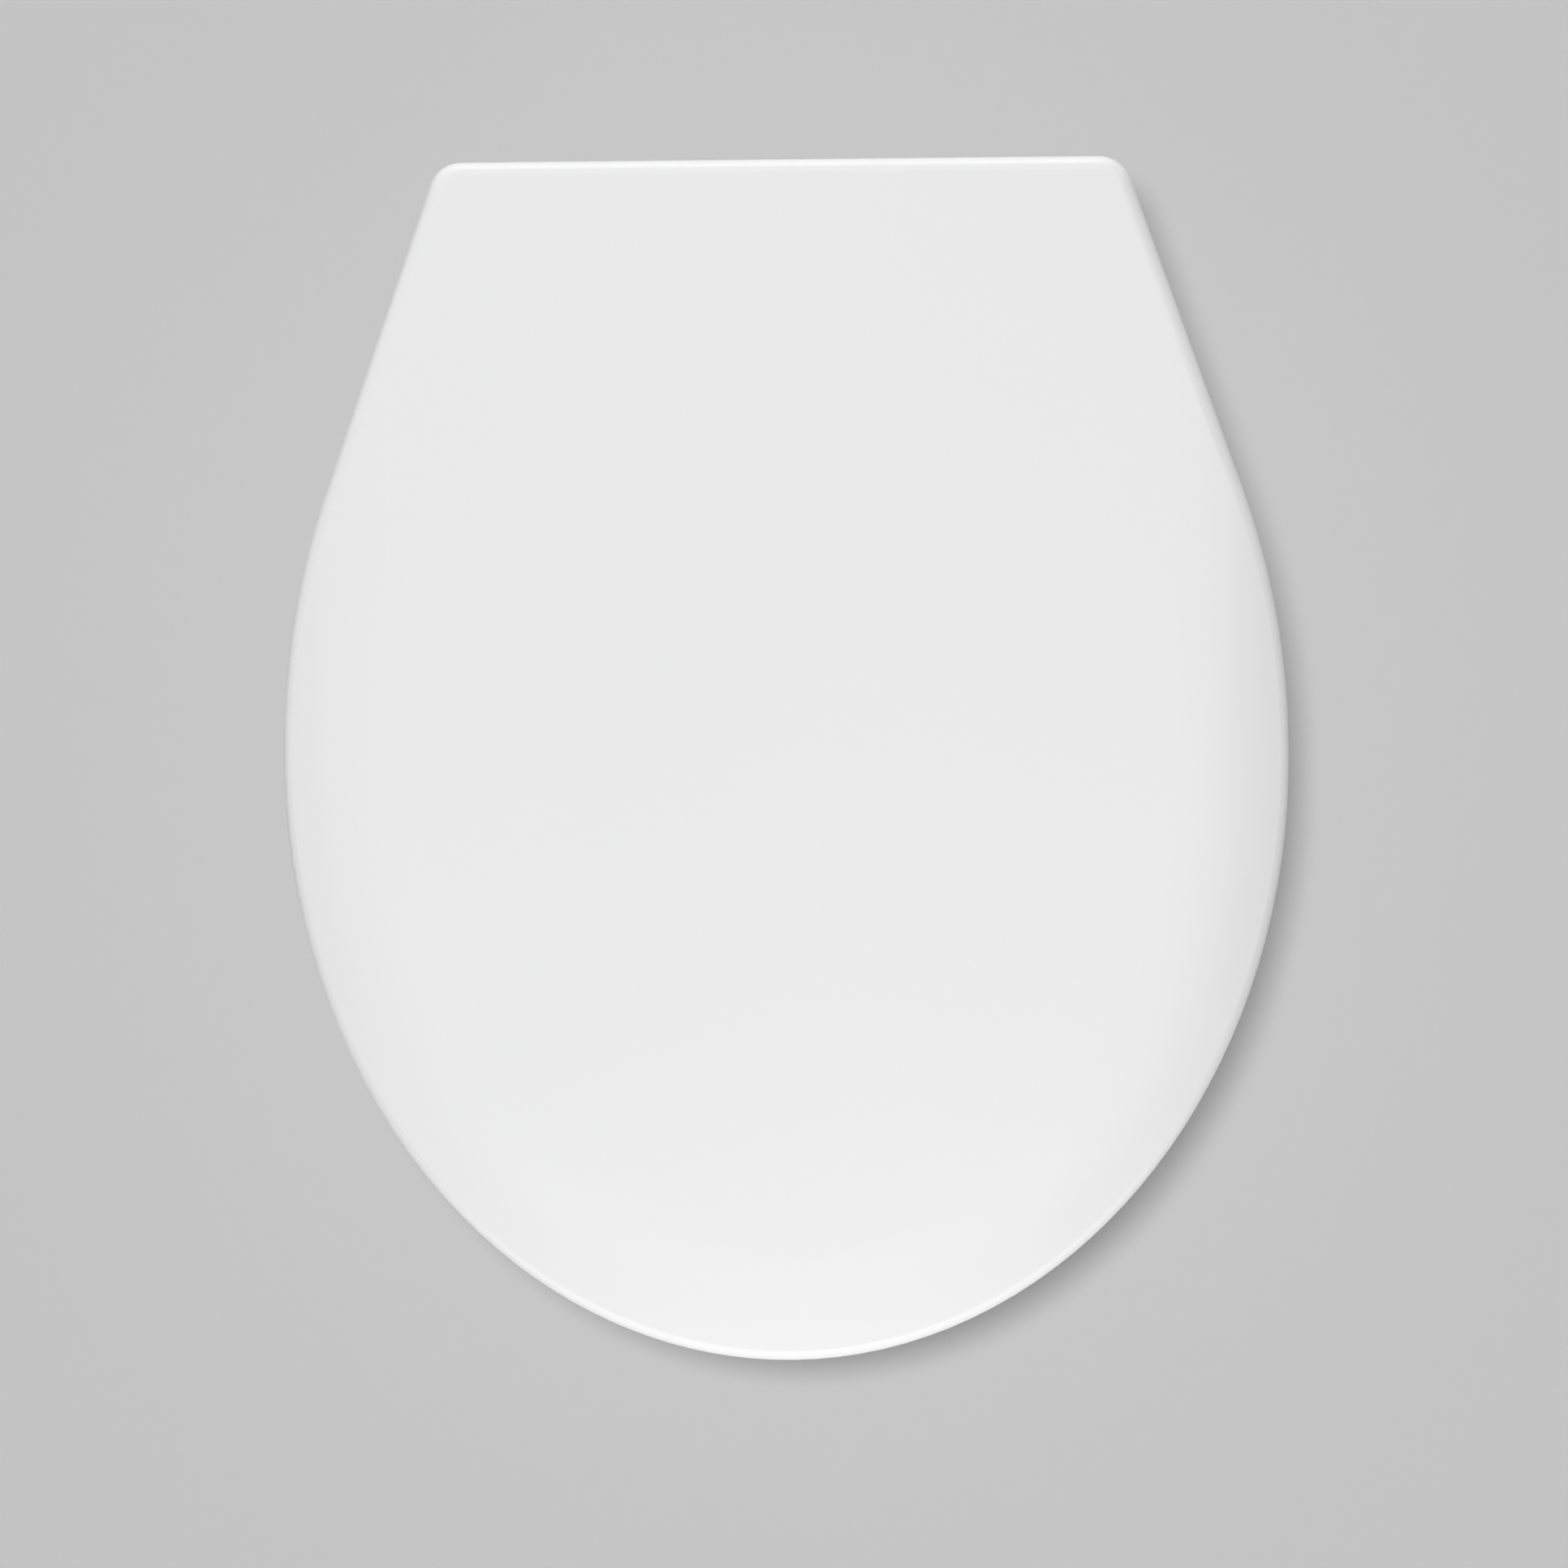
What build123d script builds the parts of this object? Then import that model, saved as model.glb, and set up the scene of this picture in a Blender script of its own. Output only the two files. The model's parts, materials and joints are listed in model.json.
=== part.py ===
from build123d import *
import os
from math import acos, atan2, cos, degrees, hypot, radians, sin

# A toilet seat: a solid ring and a thin crowned lid that overlaps it, both turning on one hinge line.
# Two cranked brackets carry the hinge pins and are bolted through the rear deck of the bowl.
# Frame: origin on the deck midway between the two fixing studs, +X to the right, +Y to the back, +Z up.
# All sizes are in millimetres. Paired pieces are drawn on the right and mirrored to the left.

# Plan of the lid
lid_width = 370.0
lid_length = 442.0
lid_back_width = 252.0  # straight back edge, measured between its sharp corners
lid_widest_from_back = 216.0
lid_flank_radius = 280.0  # bulge between the straight flanks and the widest line
lid_side_run = 4.0  # straight along the widest line, between the bulge and the rounded front
lid_corner_radius = 12.5

# Section of the lid
lid_top = 40.0  # highest point above the deck
lid_wall = 4.5
crown_roll = 40.0  # width of the border that rolls off round the flat middle, at the sides
crown_drop = 10.0  # fall of that border at the rim
lid_edge_radius = 5.0
lid_inner_radius = 3.0  # between the skin and the skirt, inside
skirt_bottom = 11.0  # lower edge of the skirt above the deck
skirt_lip_radius = 1.5

# Hinge line and its brackets
stud_spacing = 155.0
hinge_setback = 24.0  # hinge line behind the studs
hinge_height = 24.0
lid_overhang = 9.0  # back edge of the lid behind the hinge line
eye_radius = 6.5
eye_width = 14.0
pillar_front = 7.5  # reach of the pillar in front of the stud's axis
pillar_back = 6.5  # and behind it
pillar_crest_radius = 8.0
arm_height = 9.0
arm_throat_radius = 3.0
base_radius = 12.5
base_thickness = 3.0
base_edge_radius = 1.0
bracket_edge_radius = 0.8

# Lugs of the ring and the lid, with their bushes
lug_radius = 7.5
lug_width = 14.0
bush_wall = 1.5
bush_flange_radius = 6.5
bush_flange = 0.8
gusset_wall = 8.0
gusset_length = 40.0
window_margin = 6.0  # room beside the lid's lugs in the rear window
window_headroom = 1.5  # room above the bracket's eye
window_corner_radius = 5.0

# Hinge pin and its clip
pin_radius = 3.0
pin_head_radius = 4.8
pin_head = 2.2
pin_head_rounding = 0.8
pin_tail = 2.0  # length beyond the clip
clip_thickness = 0.8
clip_radius = 5.2
clip_groove_depth = 0.8
clip_mouth = 3.6

# Ring
ring_inset = 7.0  # ring's edge inside the lid's edge
ring_thickness = 17.0
ring_rear_gap = 14.0  # rear edge of the ring in front of the studs
ring_corner_radius = 24.0
ring_outer_radius = 9.0
ring_inner_radius = 13.0
ring_foot_radius = 2.0
rear_bar = 66.0  # from the ring's rear edge to the opening
front_bar = 60.0  # from the ring's front edge to the opening
opening_width = 214.0
opening_back_reach = 112.0  # from the opening's widest line to its back
channel_land = 13.0  # land on both sides of the channel underneath
channel_depth = 4.0
arm_root_radius = 5.0  # half of the hinge arm's height where it starts in the ring
arm_root_lift = 8.0  # middle of that root above the ring's underside
arm_flare_radius = 36.0  # sweep from the arm into the ring, towards the middle

# Buffers
ring_buffer_height = 6.0  # ring's underside above the rim of the bowl
ring_buffer_length = 28.0
ring_buffer_width = 13.0
ring_buffer_stem = 6.0
front_buffer_angle = 36.0  # round the opening, from straight ahead
rear_buffer_spacing = 210.0
lid_buffer_angle = 48.0
lid_buffer_radius = 6.0
lid_buffer_height = 4.0
lid_buffer_stem = 3.5
lid_boss_radius = 8.0
buffer_stem_radius = 2.5
buffer_edge_radius = 1.5

# Fixings through the deck
shank_radius = 4.0
thread_radius = 3.6  # M8 at its pitch line
deck_grip = 18.0  # from the deck's top to the cone washer
stud_engagement = 14.0  # thread inside the bracket
stud_drop = 62.0  # end of the stud below the deck's top
stud_chamfer = 1.0
gasket_thickness = 1.5
gasket_overlap = 0.8  # gasket's edge outside the bracket's base
gasket_hole_radius = 5.5
cone_height = 8.0
cone_top_radius = 6.5
cone_bottom_radius = 11.0
washer_thickness = 1.6
washer_radius = 10.5
nut_height = 9.0
nut_shoulder_radius = 7.5
nut_end_radius = 6.0
wing_span = 38.0
wing_wall = 3.2
wing_root_radius = 3.5
wing_tip_radius = 4.5
wing_tip_drop = 9.5  # centre of the tip below the nut's seat

# Clearances
running_clearance = 0.05  # pin in its bushes, on the radius
seating_clearance = 0.02  # pressed, screwed and plugged pieces, on the radius
washer_clearance = 0.4
hole_runout = 0.8  # blind holes beyond what they hold
side_clearance = 0.2  # bush flange to the bracket's eye
end_clearance = 0.3  # pin head and clip to the lugs
buffer_clearance = 0.3  # lid buffer above the ring
cut_margin = 1.0  # cuts beyond the faces that they open
pick_tolerance = 0.01  # for telling walls, upright edges and level edges apart

# Places that follow from the sizes
stud_x = stud_spacing / 2
hinge_y = hinge_setback
lid_back_y = hinge_y + lid_overhang
lid_widest_y = lid_back_y - lid_widest_from_back
lid_front_reach = lid_length - lid_widest_from_back
lid_front_y = lid_widest_y - lid_side_run
lid_front_rise = lid_front_reach - lid_side_run
flank_centre_x = lid_width / 2 - lid_flank_radius
crown_flat = lid_width / 2 - crown_roll
crown_radius = (crown_roll**2 + crown_drop**2) / (2 * crown_drop)
ring_bottom = ring_buffer_height
ring_top = ring_bottom + ring_thickness
ring_rear_y = -ring_rear_gap
arm_root_y = ring_rear_y - ring_outer_radius
opening_widest_y = ring_rear_y - rear_bar - opening_back_reach
ring_front_y = lid_widest_y - lid_front_reach + ring_inset
opening_front_reach = opening_widest_y - ring_front_y - front_bar
channel_floor = ring_bottom + channel_depth
lid_boss_bottom = ring_top + buffer_clearance + lid_buffer_height
eye_inner_x = stud_x - eye_width / 2
eye_outer_x = stud_x + eye_width / 2
eye_top = hinge_height + eye_radius
lug_gap = bush_flange + side_clearance
lid_lug_x = eye_outer_x + lug_gap
ring_lug_x = eye_inner_x - lug_gap - lug_width
bush_radius = pin_radius + running_clearance + bush_wall
clip_x = ring_lug_x - end_clearance - clip_thickness
pin_tail_x = clip_x - pin_tail
pin_shoulder_x = lid_lug_x + lug_width + end_clearance
base_top = gasket_thickness + base_thickness
thread_hole_radius = thread_radius + seating_clearance
stem_hole_radius = buffer_stem_radius + seating_clearance
cone_top = -deck_grip
washer_top = cone_top - cone_height
nut_top = washer_top - washer_thickness


def cross_bar(profile, x, width):
    """A profile drawn in (y, z), made solid from x over its width."""
    across = Plane(origin=(x, 0, 0), x_dir=(0, 1, 0), z_dir=(1, 0, 0))
    return extrude(across * profile, amount=width)


def hinge_disc(radius):
    """Disc round the hinge line, in (y, z)."""
    return Pos(hinge_y, hinge_height) * Circle(radius)


def hinge_rod(radius, x, length):
    """Cylinder on the hinge line."""
    return cross_bar(hinge_disc(radius), x, length)


def panel(low, high):
    """Rectangle between two corners."""
    centre = Pos((low[0] + high[0]) / 2, (low[1] + high[1]) / 2)
    return centre * Rectangle(high[0] - low[0], high[1] - low[1])


def upright(profile, bottom, top, place=(stud_x, 0)):
    """Vertical bar of a plan profile, on the right-hand stud unless a place is given."""
    return Pos(*place, bottom) * extrude(profile, amount=top - bottom)


def half_ellipse(widest_y, side, reach, start_angle):
    """Half of an ellipse on the centre line, to the back from 0 degrees or to the front from 180."""
    return EllipticalCenterArc((0, widest_y), side, reach, start_angle, arc_size=180)


def flank_slope():
    """Slope of the straight flanks against the centre line, in radians."""
    across = lid_back_width / 2 - flank_centre_x
    reach = hypot(across, lid_widest_from_back)
    return atan2(lid_widest_from_back, across) - acos(lid_flank_radius / reach)


def sharp_plan(inset):
    """Plan of the lid with its edge moved in by inset, before the back corners are rounded."""
    slope = flank_slope()
    turn = degrees(slope)
    radius = lid_flank_radius - inset
    back_y = lid_back_y - inset
    side = lid_width / 2 - inset
    half_back = flank_centre_x + (radius - (back_y - lid_widest_y) * sin(slope)) / cos(slope)
    tangent = (flank_centre_x + radius * cos(slope), lid_widest_y + radius * sin(slope))
    back = Line((half_back, back_y), (-half_back, back_y))
    left_flank = Line((-half_back, back_y), (-tangent[0], tangent[1]))
    left_bulge = CenterArc((-flank_centre_x, lid_widest_y), radius, 180 - turn, turn)
    left_run = Line((-side, lid_widest_y), (-side, lid_front_y))
    front = half_ellipse(lid_front_y, side, lid_front_rise - inset, 180)
    right_run = Line((side, lid_front_y), (side, lid_widest_y))
    right_bulge = CenterArc((flank_centre_x, lid_widest_y), radius, 0, turn)
    right_flank = Line(tangent, (half_back, back_y))
    left = [left_flank, left_bulge, left_run]
    right = [right_run, right_bulge, right_flank]
    return make_face([back, *left, front, *right])


def round_back_corners(plan, radius):
    """The plan with its two rearmost corners rounded."""
    return fillet(plan.vertices().sort_by(Axis.Y)[-2:], radius)


def crown_section(inset, bottom):
    """Right half of the lid's section at its widest, flat and then rolled off to the rim, in (x, z)."""
    side = lid_width / 2 - inset
    top = lid_top - inset
    radius = crown_radius - inset
    rim_angle = degrees(acos((side - crown_flat) / radius))
    roll = CenterArc((crown_flat, top - radius), radius, rim_angle, 90 - rim_angle)
    outline = Polyline(roll @ 1, (0, top), (0, bottom), (side, bottom), roll @ 0)
    return make_face([roll, outline])


def rim_edges(block):
    """Edges where a block's upright walls meet its crowned top, apart from those of its front face."""
    middle = block.bounding_box().center().Z
    walls = block.faces().sort_by(Axis.Y)[1:]
    walls = walls.filter_by(lambda face: abs(face.normal_at().Z) < pick_tolerance)
    raised = walls.edges().filter_by(lambda edge: (edge @ 0.5).Z > middle)
    return raised.filter_by(lambda edge: abs((edge % 0.5).Z) < 1 - pick_tolerance)


def crowned_block(inset, bottom, edge_radius):
    """Solid of the lid, its faces moved in by inset: a section run back and turned round the front."""
    section = crown_section(inset, bottom)
    across = Plane(origin=(0, lid_front_y, 0), x_dir=(1, 0, 0), z_dir=(0, -1, 0))
    whole = across * (section + mirror(section, about=Plane.YZ))
    plan = round_back_corners(sharp_plan(inset), lid_corner_radius - inset)
    run = extrude(whole, amount=lid_front_y - lid_back_y)
    back = run & upright(plan, bottom, lid_top, (0, 0))
    back = fillet(rim_edges(back), edge_radius)
    rim = section.vertices().group_by(Axis.X)[-1].sort_by(Axis.Y)[-1]
    turned = revolve(Plane.XZ * fillet(rim, edge_radius), Axis.Z, -180)
    stretch = (lid_front_rise - inset) / (lid_width / 2 - inset)
    return back + Pos(0, lid_front_y, 0) * scale(turned, (1, stretch, 1))


def rear_window():
    """Cut through the lid's back wall that clears the brackets and the ring's arms."""
    half = lid_lug_x + lug_width + window_margin
    top = eye_top + window_headroom
    sketch = panel((-half, -lid_top), (half, top))
    sketch = fillet(sketch.vertices().group_by(Axis.Y)[-1], window_corner_radius)
    behind = Plane(origin=(0, lid_back_y + cut_margin, 0), x_dir=(1, 0, 0), z_dir=(0, -1, 0))
    return extrude(behind * sketch, amount=lid_wall + 2 * cut_margin)


def lid_lug():
    """Right-hand hinge lug of the lid with its gusset, run up past the skin."""
    boss = hinge_disc(lug_radius)
    web = panel((hinge_y - lug_radius, hinge_height), (hinge_y + lug_radius, lid_top))
    lug = cross_bar(boss + web, lid_lug_x, lug_width)
    toe = (hinge_y - gusset_length, lid_top - lid_wall)
    gusset = make_face(
        Polyline(
            (hinge_y, hinge_height),
            (hinge_y, lid_top),
            (hinge_y - gusset_length, lid_top),
            toe,
            close=True,
        )
    )
    return lug + cross_bar(gusset, lid_lug_x + (lug_width - gusset_wall) / 2, gusset_wall)


def bar_place(angle):
    """Point on the middle of the ring's bar and the bar's direction there, in degrees."""
    side = (lid_width / 2 - ring_inset + opening_width / 2) / 2
    ahead = (lid_front_reach - ring_inset + opening_front_reach) / 2
    centre_y = (lid_widest_y + opening_widest_y) / 2
    turn = radians(angle)
    place = (side * sin(turn), centre_y - ahead * cos(turn))
    return place, degrees(atan2(ahead * sin(turn), side * cos(turn)))


def lid():
    """Lid: crowned shell with an overlapping skirt, rear window, hinge lugs and buffer bosses."""
    block = crowned_block(0, skirt_bottom, lid_edge_radius)
    block = fillet(block.faces().sort_by(Axis.Z)[0].edges(), skirt_lip_radius)
    place, _ = bar_place(lid_buffer_angle)
    boss = upright(Circle(lid_boss_radius), lid_boss_bottom, lid_top, place)
    hole_top = lid_boss_bottom + lid_buffer_stem + hole_runout
    stem_hole = upright(Circle(stem_hole_radius), lid_boss_bottom, hole_top, place)
    bush_hole = hinge_rod(bush_radius + seating_clearance, lid_lug_x, lug_width)
    fittings = lid_lug() + boss
    holes = stem_hole + bush_hole
    shell = block - crowned_block(lid_wall, 0, lid_inner_radius) - rear_window()
    shell += block & (fittings + mirror(fittings, about=Plane.YZ))
    return shell - holes - mirror(holes, about=Plane.YZ)


def lid_buffer():
    """Right-hand buffer plugged into the lid's boss, just above the ring."""
    place, _ = bar_place(lid_buffer_angle)
    pad = upright(Circle(lid_buffer_radius), ring_top + buffer_clearance, lid_boss_bottom, place)
    pad = fillet(pad.edges().group_by(Axis.Z)[0], buffer_edge_radius)
    stem_top = lid_boss_bottom + lid_buffer_stem
    return pad + upright(Circle(buffer_stem_radius), lid_boss_bottom, stem_top, place)


def ring_plan(inset):
    """Plan of the ring's outer edge moved in by inset, cut square in front of the brackets."""
    front = panel((-lid_width, -lid_length), (lid_width, ring_rear_y - inset))
    plan = sharp_plan(ring_inset + inset) & front
    return round_back_corners(plan, ring_corner_radius - inset)


def opening_plan(outset):
    """Egg-shaped opening of the ring with its edge moved out by outset."""
    side = opening_width / 2 + outset
    front = half_ellipse(opening_widest_y, side, opening_front_reach + outset, 180)
    back = half_ellipse(opening_widest_y, side, opening_back_reach + outset, 0)
    return make_face([front, back])


def arm_plan():
    """Plan of the right-hand arm, flared into the ring where its rear edge starts to round off."""
    outer_x = ring_lug_x + lug_width
    strip = panel((ring_lug_x, arm_root_y), (outer_x, hinge_y + lug_radius))
    root = panel((0, arm_root_y - arm_root_radius), (outer_x, arm_root_y))
    plan = strip + root
    corner = plan.vertices().sort_by_distance((ring_lug_x, arm_root_y))[0]
    return fillet(corner, arm_flare_radius)


def ring_arm():
    """Right-hand arm from inside the ring's rear bar back to the hinge line."""
    root = Pos(arm_root_y, ring_bottom + arm_root_lift) * Circle(arm_root_radius)
    profile = make_hull(root.edges() + hinge_disc(lug_radius).edges())
    bar = cross_bar(profile, 0, ring_lug_x + lug_width)
    return bar & upright(arm_plan(), ring_bottom, lid_top, (0, 0))


def ring_buffer_places():
    """Place and direction of the two right-hand ring buffers, by name."""
    rear = ((rear_buffer_spacing / 2, ring_rear_y - rear_bar / 2), 0.0)
    return {"front": bar_place(front_buffer_angle), "rear": rear}


def seat_ring():
    """Ring: solid moulding with rounded edges, a shallow channel underneath and two hinge arms."""
    body = upright(ring_plan(0) - opening_plan(0), ring_bottom, ring_top, (0, 0))
    top = body.faces().sort_by(Axis.Z)[-1]
    body = fillet(top.outer_wire().edges(), ring_outer_radius)
    body = fillet(body.faces().sort_by(Axis.Z)[-1].inner_wires().edges(), ring_inner_radius)
    body = fillet(body.faces().sort_by(Axis.Z)[0].edges(), ring_foot_radius)
    channel = ring_plan(channel_land) - opening_plan(channel_land)
    body -= upright(channel, ring_bottom, channel_floor, (0, 0))
    holes = hinge_rod(bush_radius + seating_clearance, ring_lug_x, lug_width)
    hole_top = channel_floor + ring_buffer_stem + hole_runout
    for place, _ in ring_buffer_places().values():
        holes += upright(Circle(stem_hole_radius), channel_floor, hole_top, place)
    arm = ring_arm()
    body += arm + mirror(arm, about=Plane.YZ)
    return body - holes - mirror(holes, about=Plane.YZ)


def ring_buffer(place, direction):
    """Oval buffer in the ring's channel, standing on the rim of the bowl."""
    outline = Rot(0, 0, direction) * SlotOverall(ring_buffer_length, ring_buffer_width)
    pad = upright(outline, 0, channel_floor, place)
    pad = fillet(pad.edges().group_by(Axis.Z)[0], buffer_edge_radius)
    stem_top = channel_floor + ring_buffer_stem
    return pad + upright(Circle(buffer_stem_radius), channel_floor, stem_top, place)


def bush(lug_x, flange_x):
    """Flanged bush in a lug, its flange between the lug and the bracket's eye."""
    sleeve = hinge_rod(bush_radius, lug_x, lug_width)
    flange = hinge_rod(bush_flange_radius, flange_x, bush_flange)
    bore_radius = pin_radius + running_clearance
    bore = hinge_rod(bore_radius, min(lug_x, flange_x), lug_width + bush_flange)
    return sleeve + flange - bore


def hinge_bracket():
    """Right-hand bracket: round foot, pillar, arm reaching back and eye for the pin, in one casting."""
    pillar = panel((-pillar_front, gasket_thickness + base_thickness / 2), (pillar_back, eye_top))
    arm_bottom = eye_top - arm_height
    neck = pillar + panel((-pillar_front, arm_bottom), (hinge_y, eye_top)) + hinge_disc(eye_radius)
    crest = neck.vertices().sort_by_distance((-pillar_front, eye_top))[0]
    neck = fillet(crest, pillar_crest_radius)
    throat = neck.vertices().sort_by_distance((pillar_back, arm_bottom))[0]
    neck = fillet(throat, arm_throat_radius)
    casting = cross_bar(neck, eye_inner_x, eye_width)
    casting = fillet(casting.faces().filter_by(Axis.X).edges(), bracket_edge_radius)
    foot = upright(Circle(base_radius), gasket_thickness, base_top)
    foot = fillet(foot.edges().group_by(Axis.Z)[-1], base_edge_radius)
    pin_hole = hinge_rod(pin_radius + seating_clearance, eye_inner_x, eye_width)
    hole_top = gasket_thickness + stud_engagement + hole_runout
    return casting + foot - pin_hole - upright(Circle(thread_hole_radius), gasket_thickness, hole_top)


def hinge_pin():
    """Headed pin through the lid's lug, the bracket's eye and the ring's arm, grooved for its clip."""
    shaft = hinge_rod(pin_radius, pin_tail_x, pin_shoulder_x - pin_tail_x)
    core = hinge_rod(pin_radius - clip_groove_depth, clip_x, clip_thickness)
    shaft = shaft - hinge_rod(pin_radius, clip_x, clip_thickness) + core
    head = hinge_rod(pin_head_radius, pin_shoulder_x, pin_head)
    return shaft + fillet(head.edges().group_by(Axis.X)[-1], pin_head_rounding)


def pin_clip():
    """Open retaining clip in the pin's groove, its mouth to the front."""
    hole = hinge_disc(pin_radius - clip_groove_depth + seating_clearance)
    mouth = panel(
        (hinge_y - 2 * clip_radius, hinge_height - clip_mouth / 2),
        (hinge_y, hinge_height + clip_mouth / 2),
    )
    return cross_bar(hinge_disc(clip_radius) - hole - mouth, clip_x, clip_thickness)


def fixing_stud():
    """Stud with a plain shank through the deck, screwed into the bracket and threaded below."""
    shank = upright(Circle(shank_radius), cone_top, gasket_thickness)
    upper = upright(Circle(thread_radius), gasket_thickness, gasket_thickness + stud_engagement)
    lower = upright(Circle(thread_radius), -stud_drop, cone_top)
    upper = chamfer(upper.edges().group_by(Axis.Z)[-1], stud_chamfer)
    lower = chamfer(lower.edges().group_by(Axis.Z)[0], stud_chamfer)
    return shank + upper + lower


def base_gasket():
    """Thin rubber gasket between the bracket's foot and the deck."""
    outline = Circle(base_radius + gasket_overlap) - Circle(gasket_hole_radius)
    return upright(outline, 0, gasket_thickness)


def cone_washer():
    """Rubber cone that centres the stud in the deck's hole from below."""
    middle = Pos(stud_x, 0, (cone_top + washer_top) / 2)
    cone = middle * Cone(cone_bottom_radius, cone_top_radius, cone_height)
    return cone - upright(Circle(thread_radius + washer_clearance), washer_top, cone_top)


def flat_washer():
    """Flat washer between the cone and the wing nut."""
    outline = Circle(washer_radius) - Circle(thread_radius + washer_clearance)
    return upright(outline, nut_top, washer_top)


def wing_nut():
    """Wing nut: tapered hub and two rounded wings."""
    hub = Pos(stud_x, 0, nut_top - nut_height / 2) * Cone(nut_end_radius, nut_shoulder_radius, nut_height)
    root = Pos(nut_end_radius - wing_root_radius, -nut_height / 2) * Circle(wing_root_radius)
    tip = Pos(wing_span / 2 - wing_tip_radius, -wing_tip_drop) * Circle(wing_tip_radius)
    ear = make_hull(root.edges() + tip.edges())
    across = Plane(origin=(stud_x, wing_wall / 2, nut_top), x_dir=(1, 0, 0), z_dir=(0, -1, 0))
    wings = extrude(across * (ear + mirror(ear, about=Plane.YZ)), amount=wing_wall)
    bore_bottom = nut_top - wing_tip_drop - wing_tip_radius
    return hub + wings - upright(Circle(thread_hole_radius), bore_bottom, nut_top)


def right_hand_pieces():
    """Every paired piece, drawn on the right."""
    pieces = {
        "lid_buffer": lid_buffer(),
        "lid_bush": bush(lid_lug_x, lid_lug_x - bush_flange),
        "ring_bush": bush(ring_lug_x, ring_lug_x + lug_width),
        "hinge_bracket": hinge_bracket(),
        "hinge_pin": hinge_pin(),
        "pin_clip": pin_clip(),
        "fixing_stud": fixing_stud(),
        "base_gasket": base_gasket(),
        "cone_washer": cone_washer(),
        "flat_washer": flat_washer(),
        "wing_nut": wing_nut(),
    }
    for name, (place, direction) in ring_buffer_places().items():
        pieces[f"ring_buffer_{name}"] = ring_buffer(place, direction)
    return pieces


def all_nodes():
    """Every node of the part by name."""
    nodes = {"lid": lid(), "seat_ring": seat_ring()}
    for name, piece in right_hand_pieces().items():
        nodes[f"{name}_right"] = piece
        nodes[f"{name}_left"] = mirror(piece, about=Plane.YZ)
    return nodes


os.makedirs("parts", exist_ok=True)
for node, shape in all_nodes().items():
    export_step(shape, f"parts/{node}.step")
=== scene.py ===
import json
import math

import bmesh
import bpy
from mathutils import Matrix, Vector


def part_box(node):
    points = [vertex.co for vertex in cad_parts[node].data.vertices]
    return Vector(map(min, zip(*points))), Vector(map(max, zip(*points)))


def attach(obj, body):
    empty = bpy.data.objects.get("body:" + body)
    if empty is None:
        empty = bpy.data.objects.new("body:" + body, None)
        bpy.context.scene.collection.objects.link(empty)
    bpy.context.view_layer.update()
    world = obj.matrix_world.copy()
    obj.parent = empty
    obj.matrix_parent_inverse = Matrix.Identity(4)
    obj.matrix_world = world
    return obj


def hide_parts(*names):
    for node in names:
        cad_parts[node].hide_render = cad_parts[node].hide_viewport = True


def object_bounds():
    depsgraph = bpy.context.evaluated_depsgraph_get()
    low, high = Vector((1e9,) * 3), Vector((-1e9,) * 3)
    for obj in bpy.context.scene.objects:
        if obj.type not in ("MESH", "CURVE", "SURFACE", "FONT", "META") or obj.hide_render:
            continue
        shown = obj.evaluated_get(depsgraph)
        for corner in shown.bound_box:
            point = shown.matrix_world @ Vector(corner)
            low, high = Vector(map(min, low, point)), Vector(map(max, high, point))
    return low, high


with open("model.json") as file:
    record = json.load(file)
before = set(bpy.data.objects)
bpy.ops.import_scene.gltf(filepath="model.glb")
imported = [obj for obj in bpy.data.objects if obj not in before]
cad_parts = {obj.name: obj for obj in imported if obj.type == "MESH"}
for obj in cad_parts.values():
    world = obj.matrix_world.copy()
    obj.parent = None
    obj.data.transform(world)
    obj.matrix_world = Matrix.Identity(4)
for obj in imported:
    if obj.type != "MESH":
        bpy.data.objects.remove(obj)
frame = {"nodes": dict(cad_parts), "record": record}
cad_low, cad_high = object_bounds()

# Looks of a toilet seat: gloss white mouldings on steel hinges, seen from straight above on a pale floor.
# Every length is in metres, in the same frame as the solids.

NODES = frame["nodes"]
SIDES = ("left", "right")

# Picture: the lid's place in the square image, as the photograph frames it
IMAGE_SIDE_PX = 1932
LID_WIDTH_PX = 1238.0
LID_CENTRE_PX = (969.0, 936.3)
CAMERA_ROLL_DEG = 0.6
CAMERA_HEIGHT = 10.0
SENSOR_MM = 36.0

# Floor, low enough to clear the lid when it hangs right over behind the hinges
FLOOR_GREY = 0.95
FLOOR_GLOW = 0.174
FLOOR_ROUGHNESS = 0.9
FLOOR_DROP = 0.108
FLOOR_SIZE = 30.0

# Far lamps: strength, spread in degrees, angle from overhead, and bearing from the back towards the right
KEY = (0.95, 4.8, 3.0, -46.0)
FRONT = (0.62, 110.0, 64.0, 174.0)
LEFT = (0.45, 70.0, 62.0, -88.0)
BACK = (2.35, 30.0, 78.0, 0.0)

# Softboxes near the seat: power in watts, width and height, where they stand, and the point that they face
FRONT_BOX = (7.6, (2.0, 0.3), (0.08, -1.07, 0.28), (0.0, -0.409, 0.04))
TOP_BOX = (2.4, (0.6, 0.6), (-0.1, 0.35, 1.0), (0.0, 0.0, 0.04))

# World: fill light, backdrop, and the sky in reflections, from low down to right overhead
WORLD_STRENGTH = 0.085
BACKDROP = 0.565
SKY_LOW, SKY_HIGH = 0.4, 1.0
SKY_FROM, SKY_TO = 0.75, 0.98
WHITE_LIGHT = (1.0, 1.0, 1.0, 1.0)

# Materials. Noise: scale per metre, detail and, where it is drawn out, its stretch. Tones and roughness: the
# two ends between which the noise moves them. Bump: strength and distance.
NOISE_LOW, NOISE_HIGH = 0.3, 0.7

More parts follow.
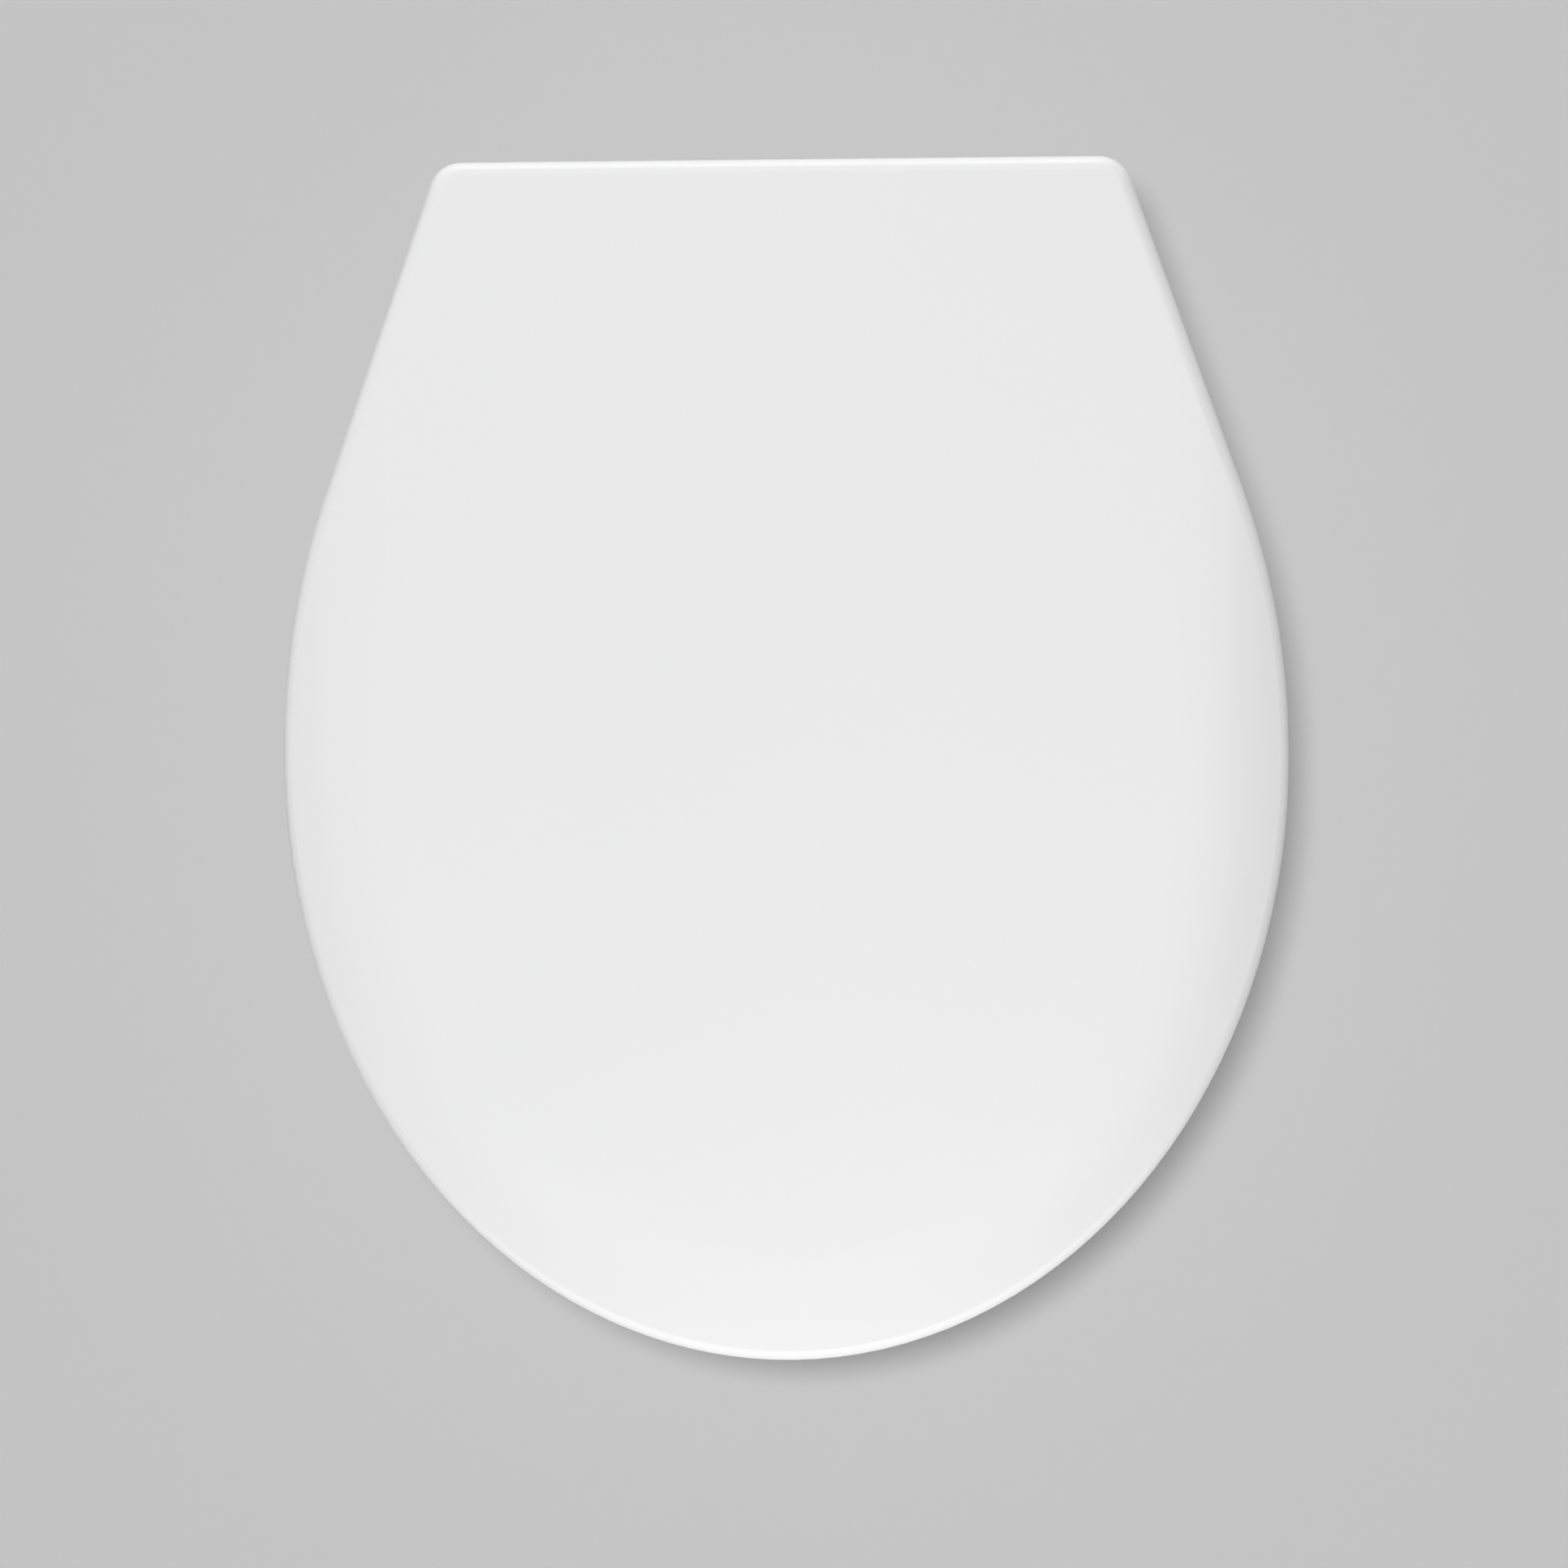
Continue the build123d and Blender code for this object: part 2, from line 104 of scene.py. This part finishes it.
# A roughness that runs from 0.25 to 0.28 comes out of the denoiser as flecks on the white, and this one doesn't
WHITE_CLOUD = (6.0, 3.0)
WHITE_POLISH = (60.0, 6.0)
WHITE_TONES = ((0.799, 0.801, 0.801), (0.806, 0.807, 0.805))
WHITE_ROUGHNESS = (0.285, 0.315)
WHITE_IOR = 1.5
WHITE_COAT = 1.0
WHITE_COAT_ROUGHNESS = 0.2

STEEL_LINES = (900.0, 4.0, (0.04, 1.0, 1.0))
STEEL_TONES = ((0.52, 0.515, 0.505), (0.66, 0.655, 0.645))
STEEL_ROUGHNESS = (0.22, 0.38)
STEEL_BUMP = (0.12, 0.0002)

ZINC_BLOTCH = (420.0, 5.0)
ZINC_TONES = ((0.46, 0.49, 0.53), (0.62, 0.64, 0.66))
ZINC_ROUGHNESS = (0.25, 0.45)
ZINC_GRIT = (2600.0, 2.0)
ZINC_BUMP = (0.1, 0.0001)

SPRING_STAIN = (700.0, 4.0)
SPRING_TONES = ((0.16, 0.16, 0.17), (0.28, 0.28, 0.3))
SPRING_ROUGHNESS = (0.3, 0.5)

RUBBER_BLOOM = (160.0, 6.0)
RUBBER_TONES = ((0.045, 0.045, 0.047), (0.085, 0.085, 0.088))
RUBBER_ROUGHNESS = (0.55, 0.8)
RUBBER_GRAIN = (2200.0, 3.0)
RUBBER_BUMP = (0.25, 0.0002)

NYLON_CLOUD = (240.0, 4.0)
NYLON_TONES = ((0.7, 0.69, 0.65), (0.77, 0.76, 0.73))
NYLON_ROUGHNESS = (0.34, 0.5)
NYLON_DEPTH = (0.2, (0.002, 0.002, 0.0018))

BUFFER_CLOUD = (130.0, 4.0)
BUFFER_TONES = ((0.6, 0.61, 0.61), (0.68, 0.685, 0.68))
BUFFER_ROUGHNESS = (0.42, 0.6)
BUFFER_GRAIN = (1800.0, 2.0)
BUFFER_BUMP = (0.2, 0.0001)
BUFFER_DEPTH = (0.25, (0.003, 0.003, 0.003))

# Fixing studs, M8: plain shank through the deck, thread cut where the stud stands out of the wing nut.
# Crest and flank are shares of the pitch.
STUD_SHANK = 0.004
STUD_CORE = 0.0036
STUD_CHAMFER = 0.001
STUD_SHARP_DEG = 25.0
SHANK_TOP = 0.0015
SHANK_BOTTOM = -0.018
THREAD_TOP = -0.0365
THREAD_END = 0.0012
THREAD_PITCH = 0.00125
THREAD_DEPTH = 0.00077
THREAD_CREST = 0.125
THREAD_FLANK = 0.3125
THREAD_RINGS = 12
THREAD_SIDES = 48


def new_material(name):
    """Empty node material with its output and shader."""
    material = bpy.data.materials.new(name)
    material.use_nodes = True
    nodes = material.node_tree.nodes
    nodes.clear()
    output = nodes.new("ShaderNodeOutputMaterial")
    shader = nodes.new("ShaderNodeBsdfPrincipled")
    material.node_tree.links.new(shader.outputs["BSDF"], output.inputs["Surface"])
    return material, shader


def add_node(material, kind, **inputs):
    """Node of a kind with its named inputs set."""
    node = material.node_tree.nodes.new(kind)
    for key, value in inputs.items():
        node.inputs[key].default_value = value
    return node


def link(material, source, target):
    material.node_tree.links.new(source, target)


def object_noise(material, scale, detail, stretch=(1.0, 1.0, 1.0)):
    """Noise in the object's own metres, stretched along its axes."""
    place = material.node_tree.nodes.new("ShaderNodeTexCoord")
    mapping = add_node(material, "ShaderNodeMapping", Scale=stretch)
    noise = add_node(material, "ShaderNodeTexNoise", Scale=scale, Detail=detail)
    link(material, place.outputs["Object"], mapping.inputs["Vector"])
    link(material, mapping.outputs["Vector"], noise.inputs["Vector"])
    return noise.outputs["Fac"]


def set_tones(material, shader, noise, low, high):
    """Colour between two tones, by a noise."""
    ramp = material.node_tree.nodes.new("ShaderNodeValToRGB")
    first, last = ramp.color_ramp.elements
    first.position, last.position = NOISE_LOW, NOISE_HIGH
    first.color, last.color = (*low, 1.0), (*high, 1.0)
    link(material, noise, ramp.inputs["Fac"])
    link(material, ramp.outputs["Color"], shader.inputs["Base Color"])


def set_roughness(material, shader, noise, low, high):
    """Roughness between two limits, by a noise."""
    spread = add_node(material, "ShaderNodeMapRange")
    spread.inputs["From Min"].default_value = NOISE_LOW
    spread.inputs["From Max"].default_value = NOISE_HIGH
    spread.inputs["To Min"].default_value = low
    spread.inputs["To Max"].default_value = high
    link(material, noise, spread.inputs["Value"])
    link(material, spread.outputs["Result"], shader.inputs["Roughness"])


def add_bump(material, shader, height, strength, distance):
    """Fine relief, by a noise."""
    bump = add_node(material, "ShaderNodeBump", Strength=strength, Distance=distance)
    link(material, height, bump.inputs["Height"])
    link(material, bump.outputs["Normal"], shader.inputs["Normal"])


def let_light_in(shader, weight, radius):
    """Slight translucence."""
    shader.inputs["Subsurface Weight"].default_value = weight
    shader.inputs["Subsurface Radius"].default_value = radius


def white_thermoset():
    """Pressed gloss white resin: very slightly uneven white and polish."""
    material, shader = new_material("white_thermoset")
    set_tones(material, shader, object_noise(material, *WHITE_CLOUD), *WHITE_TONES)
    set_roughness(material, shader, object_noise(material, *WHITE_POLISH), *WHITE_ROUGHNESS)
    shader.inputs["IOR"].default_value = WHITE_IOR
    shader.inputs["Coat Weight"].default_value = WHITE_COAT
    shader.inputs["Coat Roughness"].default_value = WHITE_COAT_ROUGHNESS
    return material


def brushed_steel():
    """Stainless steel with fine grinding lines along the hinge."""
    material, shader = new_material("stainless_steel")
    shader.inputs["Metallic"].default_value = 1.0
    lines = object_noise(material, *STEEL_LINES)
    set_tones(material, shader, lines, *STEEL_TONES)
    set_roughness(material, shader, lines, *STEEL_ROUGHNESS)
    add_bump(material, shader, lines, *STEEL_BUMP)
    return material


def zinc_plate():
    """Bright zinc plating: bluish, slightly blotched."""
    material, shader = new_material("zinc_steel")
    shader.inputs["Metallic"].default_value = 1.0
    blotch = object_noise(material, *ZINC_BLOTCH)
    set_tones(material, shader, blotch, *ZINC_TONES)
    set_roughness(material, shader, blotch, *ZINC_ROUGHNESS)
    add_bump(material, shader, object_noise(material, *ZINC_GRIT), *ZINC_BUMP)
    return material


def spring_steel():
    """Dark oiled spring steel."""
    material, shader = new_material("spring_steel")
    shader.inputs["Metallic"].default_value = 1.0
    stain = object_noise(material, *SPRING_STAIN)
    set_tones(material, shader, stain, *SPRING_TONES)
    set_roughness(material, shader, stain, *SPRING_ROUGHNESS)
    return material


def grey_rubber():
    """Matt rubber with a dusty bloom and a fine moulded grain."""
    material, shader = new_material("grey_rubber")
    bloom = object_noise(material, *RUBBER_BLOOM)
    set_tones(material, shader, bloom, *RUBBER_TONES)
    set_roughness(material, shader, bloom, *RUBBER_ROUGHNESS)
    add_bump(material, shader, object_noise(material, *RUBBER_GRAIN), *RUBBER_BUMP)
    return material


def white_nylon():
    """Off-white nylon, satin and a little translucent."""
    material, shader = new_material("white_nylon")
    cloud = object_noise(material, *NYLON_CLOUD)
    set_tones(material, shader, cloud, *NYLON_TONES)
    set_roughness(material, shader, cloud, *NYLON_ROUGHNESS)
    let_light_in(shader, *NYLON_DEPTH)
    return material


def soft_white():
    """Soft pale plastic of the buffers, satin with a fine spark-eroded grain."""
    material, shader = new_material("soft_white")
    cloud = object_noise(material, *BUFFER_CLOUD)
    set_tones(material, shader, cloud, *BUFFER_TONES)
    set_roughness(material, shader, cloud, *BUFFER_ROUGHNESS)
    add_bump(material, shader, object_noise(material, *BUFFER_GRAIN), *BUFFER_BUMP)
    let_light_in(shader, *BUFFER_DEPTH)
    return material


def dress_nodes():
    """Gives every solid the material of its slot."""
    makers = {
        "white_thermoset": white_thermoset,
        "stainless_steel": brushed_steel,
        "zinc_steel": zinc_plate,
        "spring_steel": spring_steel,
        "grey_rubber": grey_rubber,
        "white_nylon": white_nylon,
        "soft_white": soft_white,
    }
    materials = {slot: make() for slot, make in makers.items()}
    for row in frame["record"]["subparts"]:
        mesh = NODES[row["node"]].data
        mesh.materials.clear()
        mesh.materials.append(materials[row["material_slot"]])
    return materials


def thread_share(turns):
    """Depth of the thread as a share of its full depth: flat crest, straight flanks and flat root."""
    phase = turns % 1.0
    flank_end = THREAD_CREST + THREAD_FLANK
    if phase < THREAD_CREST:
        return 0.0
    if phase < flank_end:
        return (phase - THREAD_CREST) / THREAD_FLANK
    if phase < 1.0 - THREAD_FLANK:
        return 1.0
    return (1.0 - phase) / THREAD_FLANK


def stud_rings(low, high):
    """Heights down the stud, each with its radius and whether the thread is cut into it."""
    rings = [
        (high.z, STUD_CORE - STUD_CHAMFER, False),
        (high.z - STUD_CHAMFER, STUD_CORE, False),
        (SHANK_TOP, STUD_CORE, False),
        (SHANK_TOP, STUD_SHANK, False),
        (SHANK_BOTTOM, STUD_SHANK, False),
        (SHANK_BOTTOM, STUD_CORE, False),
        (THREAD_TOP, STUD_CORE, False),
    ]
    count = math.ceil((THREAD_TOP - low.z) / THREAD_PITCH * THREAD_RINGS)
    for step in range(count + 1):
        z = THREAD_TOP + (low.z - THREAD_TOP) * step / count
        limit = STUD_SHANK - max(0.0, low.z + THREAD_END - z)
        rings.append((z, limit, True))
    return rings


def make_stud(side, material):
    """Fixing stud with its thread cut in full where it stands out below the wing nut."""
    node = f"fixing_stud_{side}"
    low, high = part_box(node)
    centre = (low + high) / 2
    mesh = bmesh.new()
    rows = []
    for z, radius, threaded in stud_rings(low, high):
        row = []
        for i in range(THREAD_SIDES):
            around = i / THREAD_SIDES
            reach = radius
            if threaded:
                share = thread_share(z / THREAD_PITCH - around)
                reach = min(radius, STUD_SHANK - THREAD_DEPTH * share)
            angle = 2.0 * math.pi * around
            x = centre.x + reach * math.cos(angle)
            y = centre.y + reach * math.sin(angle)
            row.append(mesh.verts.new((x, y, z)))
        rows.append(row)
    for upper, lower in zip(rows, rows[1:]):
        for i in range(THREAD_SIDES):
            j = (i + 1) % THREAD_SIDES
            mesh.faces.new((upper[i], lower[i], lower[j], upper[j]))
    mesh.faces.new(rows[0])
    mesh.faces.new(reversed(rows[-1]))
    data = bpy.data.meshes.new(f"threaded_stud_{side}")
    mesh.to_mesh(data)
    mesh.free()
    data.shade_smooth()
    data.set_sharp_from_angle(angle=math.radians(STUD_SHARP_DEG))
    data.materials.append(material)
    stud = bpy.data.objects.new(f"threaded_stud_{side}", data)
    bpy.context.scene.collection.objects.link(stud)
    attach(stud, "hinge_base")
    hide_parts(node)
    return stud


def seen_directly(tree):
    """1 for what the camera sees, also in a reflection or through something clear, else 0."""
    path = tree.nodes.new("ShaderNodeLightPath")
    total = path.outputs["Is Camera Ray"]
    for ray in ("Is Glossy Ray", "Is Transmission Ray"):
        larger = tree.nodes.new("ShaderNodeMath")
        larger.operation = "MAXIMUM"
        tree.links.new(total, larger.inputs[0])
        tree.links.new(path.outputs[ray], larger.inputs[1])
        total = larger.outputs["Value"]
    return total


def make_floor():
    """Plain pale floor below everything that moves."""
    z = cad_low.z - FLOOR_DROP
    half = FLOOR_SIZE / 2
    mesh = bpy.data.meshes.new("floor")
    corners = [(-half, -half, z), (half, -half, z), (half, half, z), (-half, half, z)]
    mesh.from_pydata(corners, [], [(0, 1, 2, 3)])
    floor = bpy.data.objects.new("floor", mesh)
    bpy.context.scene.collection.objects.link(floor)
    material, shader = new_material("floor")
    shader.inputs["Base Color"].default_value = (FLOOR_GREY, FLOOR_GREY, FLOOR_GREY, 1.0)
    shader.inputs["Roughness"].default_value = FLOOR_ROUGHNESS
    shader.inputs["Specular IOR Level"].default_value = 0.0
    shader.inputs["Emission Color"].default_value = (FLOOR_GLOW, FLOOR_GLOW, FLOOR_GLOW, 1.0)
    link(material, seen_directly(material.node_tree), shader.inputs["Emission Strength"])
    mesh.materials.append(material)


def make_lamp(name, strength, spread, zenith, bearing):
    """Far lamp of a given spread."""
    lamp = bpy.data.lights.new(name, "SUN")
    lamp.energy = strength
    lamp.angle = math.radians(spread)
    z, b = math.radians(zenith), math.radians(bearing)
    towards = Vector((math.sin(z) * math.sin(b), math.sin(z) * math.cos(b), math.cos(z)))
    holder = bpy.data.objects.new(name, lamp)
    holder.rotation_euler = towards.to_track_quat("Z", "Y").to_euler()
    bpy.context.scene.collection.objects.link(holder)
    return holder


def make_softbox(name, power, size, place, aim):
    """Rectangular lamp near the seat."""
    lamp = bpy.data.lights.new(name, "AREA")
    lamp.shape = "RECTANGLE"
    lamp.energy = power
    lamp.size, lamp.size_y = size
    holder = bpy.data.objects.new(name, lamp)
    holder.location = place
    holder.rotation_euler = (Vector(place) - Vector(aim)).to_track_quat("Z", "Y").to_euler()
    bpy.context.scene.collection.objects.link(holder)
    return holder


def make_lamps(pieces):
    """Overhead key that throws the shadow, and soft lamps that light the seat alone.

    Only the front and left lamps show in reflections: the flat lid would mirror the others as glare.
    """
    key = make_lamp("key", *KEY)
    shown = [make_lamp("front", *FRONT), make_lamp("left", *LEFT)]
    unseen = [
        make_lamp("back", *BACK),
        make_softbox("front_box", *FRONT_BOX),
        make_softbox("top_box", *TOP_BOX),
    ]
    for holder in (key, *unseen):
        holder.visible_glossy = False
    seat = bpy.data.collections.new("lit_by_soft_lamps")
    for piece in pieces:
        seat.objects.link(piece)
    for holder in shown + unseen:
        holder.visible_camera = False
        holder.light_linking.receiver_collection = seat


def make_world():
    """Even fill light, with a pale backdrop where the camera looks past the floor."""
    world = bpy.data.worlds.new("studio")
    world.use_nodes = True
    tree = world.node_tree
    fill = tree.nodes["Background"]
    fill.inputs["Strength"].default_value = WORLD_STRENGTH
    backdrop = tree.nodes.new("ShaderNodeBackground")
    backdrop.inputs["Strength"].default_value = BACKDROP
    sky = tree.nodes.new("ShaderNodeBackground")
    place = tree.nodes.new("ShaderNodeTexCoord")
    split = tree.nodes.new("ShaderNodeSeparateXYZ")
    rise = tree.nodes.new("ShaderNodeMapRange")
    rise.interpolation_type = "SMOOTHSTEP"
    for socket, value in zip(rise.inputs[1:5], (SKY_FROM, SKY_TO, SKY_LOW, SKY_HIGH)):
        socket.default_value = value
    tree.links.new(place.outputs["Generated"], split.inputs["Vector"])
    tree.links.new(split.outputs["Z"], rise.inputs["Value"])
    tree.links.new(rise.outputs["Result"], sky.inputs["Strength"])
    for background in (fill, backdrop, sky):
        background.inputs["Color"].default_value = WHITE_LIGHT
    reflected = tree.nodes.new("ShaderNodeMixShader")
    tree.links.new(seen_directly(tree), reflected.inputs["Fac"])
    tree.links.new(fill.outputs["Background"], reflected.inputs[1])
    tree.links.new(sky.outputs["Background"], reflected.inputs[2])
    seen = tree.nodes.new("ShaderNodeMixShader")
    path = tree.nodes.new("ShaderNodeLightPath")
    tree.links.new(path.outputs["Is Camera Ray"], seen.inputs["Fac"])
    tree.links.new(reflected.outputs["Shader"], seen.inputs[1])
    tree.links.new(backdrop.outputs["Background"], seen.inputs[2])
    tree.links.new(seen.outputs["Shader"], tree.nodes["World Output"].inputs["Surface"])
    bpy.context.scene.world = world


def make_camera():
    """Camera straight above, scaled so that the lid has the photograph's size and place."""
    low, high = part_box("lid")
    metres_per_px = (high.x - low.x) / LID_WIDTH_PX
    middle = IMAGE_SIDE_PX / 2
    x = (low.x + high.x) / 2 + (middle - LID_CENTRE_PX[0]) * metres_per_px
    y = (low.y + high.y) / 2 - (middle - LID_CENTRE_PX[1]) * metres_per_px
    data = bpy.data.cameras.new("camera")
    data.sensor_width = SENSOR_MM
    data.lens = SENSOR_MM * CAMERA_HEIGHT / (IMAGE_SIDE_PX * metres_per_px)
    camera = bpy.data.objects.new("camera", data)
    edge_z = low.z + (high.z - low.z) / 2
    camera.location = (x, y, edge_z + CAMERA_HEIGHT)
    camera.rotation_euler = (0.0, 0.0, math.radians(-CAMERA_ROLL_DEG))
    bpy.context.scene.collection.objects.link(camera)
    bpy.context.scene.camera = camera


materials = dress_nodes()
studs = [make_stud(side, materials["zinc_steel"]) for side in SIDES]
make_floor()
make_lamps([*NODES.values(), *studs])
make_world()
make_camera()
bpy.context.scene.view_settings.view_transform = "Standard"
